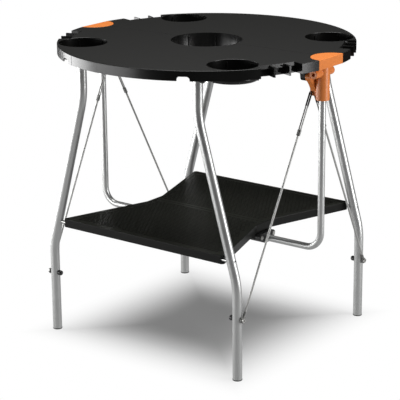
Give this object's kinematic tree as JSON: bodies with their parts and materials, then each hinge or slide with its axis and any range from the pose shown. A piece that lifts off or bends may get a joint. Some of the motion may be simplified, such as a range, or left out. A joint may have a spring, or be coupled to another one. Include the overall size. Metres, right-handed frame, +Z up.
{
  "type": "folding utility table",
  "caption": "Round folding work table: a split top with cup wells and rim tool bays on steel legs, a central U frame, a hinged lower shelf and wire stays.",
  "frame": {"origin": "on the floor under the middle of the top", "axes": "X along the seam and the two hubs, Y across the seam, Z up"},
  "size_m": [0.704, 0.71, 0.716],
  "materials": {
    "top_plastic": "moulded black plastic, fine texture, satin",
    "shelf_plastic": "moulded black plastic with a fine ribbed field",
    "orange_plastic": "moulded orange plastic, satin",
    "bracket_plastic": "moulded black plastic",
    "plug_plastic": "moulded black plastic",
    "foot_rubber": "dark grey soft plastic",
    "leg_steel": "silver powder coat, smooth",
    "rod_steel": "zinc plated bar",
    "zinc_steel": "zinc plated",
    "cap_plastic": "black nut cap",
    "wire_steel": "twisted steel wire rope in a thin clear coat",
    "crimp_metal": "pressed ferrule, dull",
    "sleeve_plastic": "shrunk black sleeve"
  },
  "bodies": {
    "centre_frame": {"hub_right": "orange_plastic", "hub_left": "orange_plastic", "u_tube": "leg_steel", "hub_screws": "zinc_steel", "hub_hinge_pins": "zinc_steel", "shelf_bracket_right": "bracket_plastic", "shelf_bracket_left": "bracket_plastic", "shelf_hinge_pins": "zinc_steel"},
    "front_top": {"top_front": "top_plastic", "bracket_screws_front": "zinc_steel", "leg_pins_front": "zinc_steel", "leg_bracket_front_left": "bracket_plastic", "leg_bracket_front_right": "bracket_plastic"},
    "front_legs": {"leg_front_left": "leg_steel", "leg_front_right": "leg_steel", "foot_plug_front_left": "foot_rubber", "foot_plug_front_right": "foot_rubber", "leg_plugs_front": "plug_plastic", "shelf_rod_front": "rod_steel", "stay_bolts_front": "zinc_steel", "cap_nuts_front": "cap_plastic"},
    "front_shelf": {"shelf_front": "shelf_plastic"},
    "stay_front_left": {"stay_wire_front_left": "wire_steel", "stay_eyelet_front_left": "crimp_metal", "stay_ferrule_front_left": "crimp_metal", "stay_loop_front_left": "wire_steel", "stay_sleeve_front_left": "sleeve_plastic"},
    "stay_front_right": {"stay_wire_front_right": "wire_steel", "stay_eyelet_front_right": "crimp_metal", "stay_ferrule_front_right": "crimp_metal", "stay_loop_front_right": "wire_steel", "stay_sleeve_front_right": "sleeve_plastic"},
    "back_top": {"top_back": "top_plastic", "bracket_screws_back": "zinc_steel", "leg_pins_back": "zinc_steel", "leg_bracket_back_left": "bracket_plastic", "leg_bracket_back_right": "bracket_plastic"},
    "back_legs": {"leg_back_left": "leg_steel", "leg_back_right": "leg_steel", "foot_plug_back_left": "foot_rubber", "foot_plug_back_right": "foot_rubber", "leg_plugs_back": "plug_plastic", "shelf_rod_back": "rod_steel", "stay_bolts_back": "zinc_steel", "cap_nuts_back": "cap_plastic"},
    "back_shelf": {"shelf_back": "shelf_plastic"},
    "stay_back_left": {"stay_wire_back_left": "wire_steel", "stay_eyelet_back_left": "crimp_metal", "stay_ferrule_back_left": "crimp_metal", "stay_loop_back_left": "wire_steel", "stay_sleeve_back_left": "sleeve_plastic"},
    "stay_back_right": {"stay_wire_back_right": "wire_steel", "stay_eyelet_back_right": "crimp_metal", "stay_ferrule_back_right": "crimp_metal", "stay_loop_back_right": "wire_steel", "stay_sleeve_back_right": "sleeve_plastic"}
  },
  "joints": [
    {"name": "front_fold", "type": "hinge", "parent": "centre_frame", "child": "front_top", "pos_m": [0, -0.024, 0.668], "axis": [1, 0, 0], "range_deg": [0, 90]},
    {"name": "front_legs_level", "type": "hinge", "parent": "front_top", "child": "front_legs", "pos_m": [0, -0.257, 0.69], "axis": [1, 0, 0], "range_deg": [-90, 0]},
    {"name": "front_shelf_fold", "type": "hinge", "parent": "centre_frame", "child": "front_shelf", "pos_m": [0, -0.024, 0.26], "axis": [1, 0, 0], "range_deg": [0, 90]},
    {"name": "front_left_stay_swing", "type": "hinge", "parent": "front_legs", "child": "stay_front_left", "pos_m": [-0.2911, -0.257, 0.148], "axis": [1, 0, 0], "range_deg": [0, 27.65]},
    {"name": "front_right_stay_swing", "type": "hinge", "parent": "front_legs", "child": "stay_front_right", "pos_m": [0.2911, -0.257, 0.148], "axis": [1, 0, 0], "range_deg": [0, 27.65]},
    {"name": "back_fold", "type": "hinge", "parent": "centre_frame", "child": "back_top", "pos_m": [0, 0.024, 0.668], "axis": [-1, 0, 0], "range_deg": [0, 90]},
    {"name": "back_legs_level", "type": "hinge", "parent": "back_top", "child": "back_legs", "pos_m": [0, 0.257, 0.69], "axis": [-1, 0, 0], "range_deg": [-90, 0]},
    {"name": "back_shelf_fold", "type": "hinge", "parent": "centre_frame", "child": "back_shelf", "pos_m": [0, 0.024, 0.26], "axis": [-1, 0, 0], "range_deg": [0, 90]},
    {"name": "back_left_stay_swing", "type": "hinge", "parent": "back_legs", "child": "stay_back_left", "pos_m": [-0.2911, 0.257, 0.148], "axis": [-1, 0, 0], "range_deg": [0, 27.65]},
    {"name": "back_right_stay_swing", "type": "hinge", "parent": "back_legs", "child": "stay_back_right", "pos_m": [0.2911, 0.257, 0.148], "axis": [-1, 0, 0], "range_deg": [0, 27.65]}
  ],
  "couplings": [
    {"joint": "front_legs_level", "follows": "front_fold", "ratio": -1},
    {"joint": "front_shelf_fold", "follows": "front_fold", "ratio": 1},
    {"joint": "front_left_stay_swing", "follows": "front_fold", "ratio": 0.305},
    {"joint": "front_right_stay_swing", "follows": "front_fold", "ratio": 0.305},
    {"joint": "back_legs_level", "follows": "back_fold", "ratio": -1},
    {"joint": "back_shelf_fold", "follows": "back_fold", "ratio": 1},
    {"joint": "back_left_stay_swing", "follows": "back_fold", "ratio": 0.305},
    {"joint": "back_right_stay_swing", "follows": "back_fold", "ratio": 0.305}
  ]
}
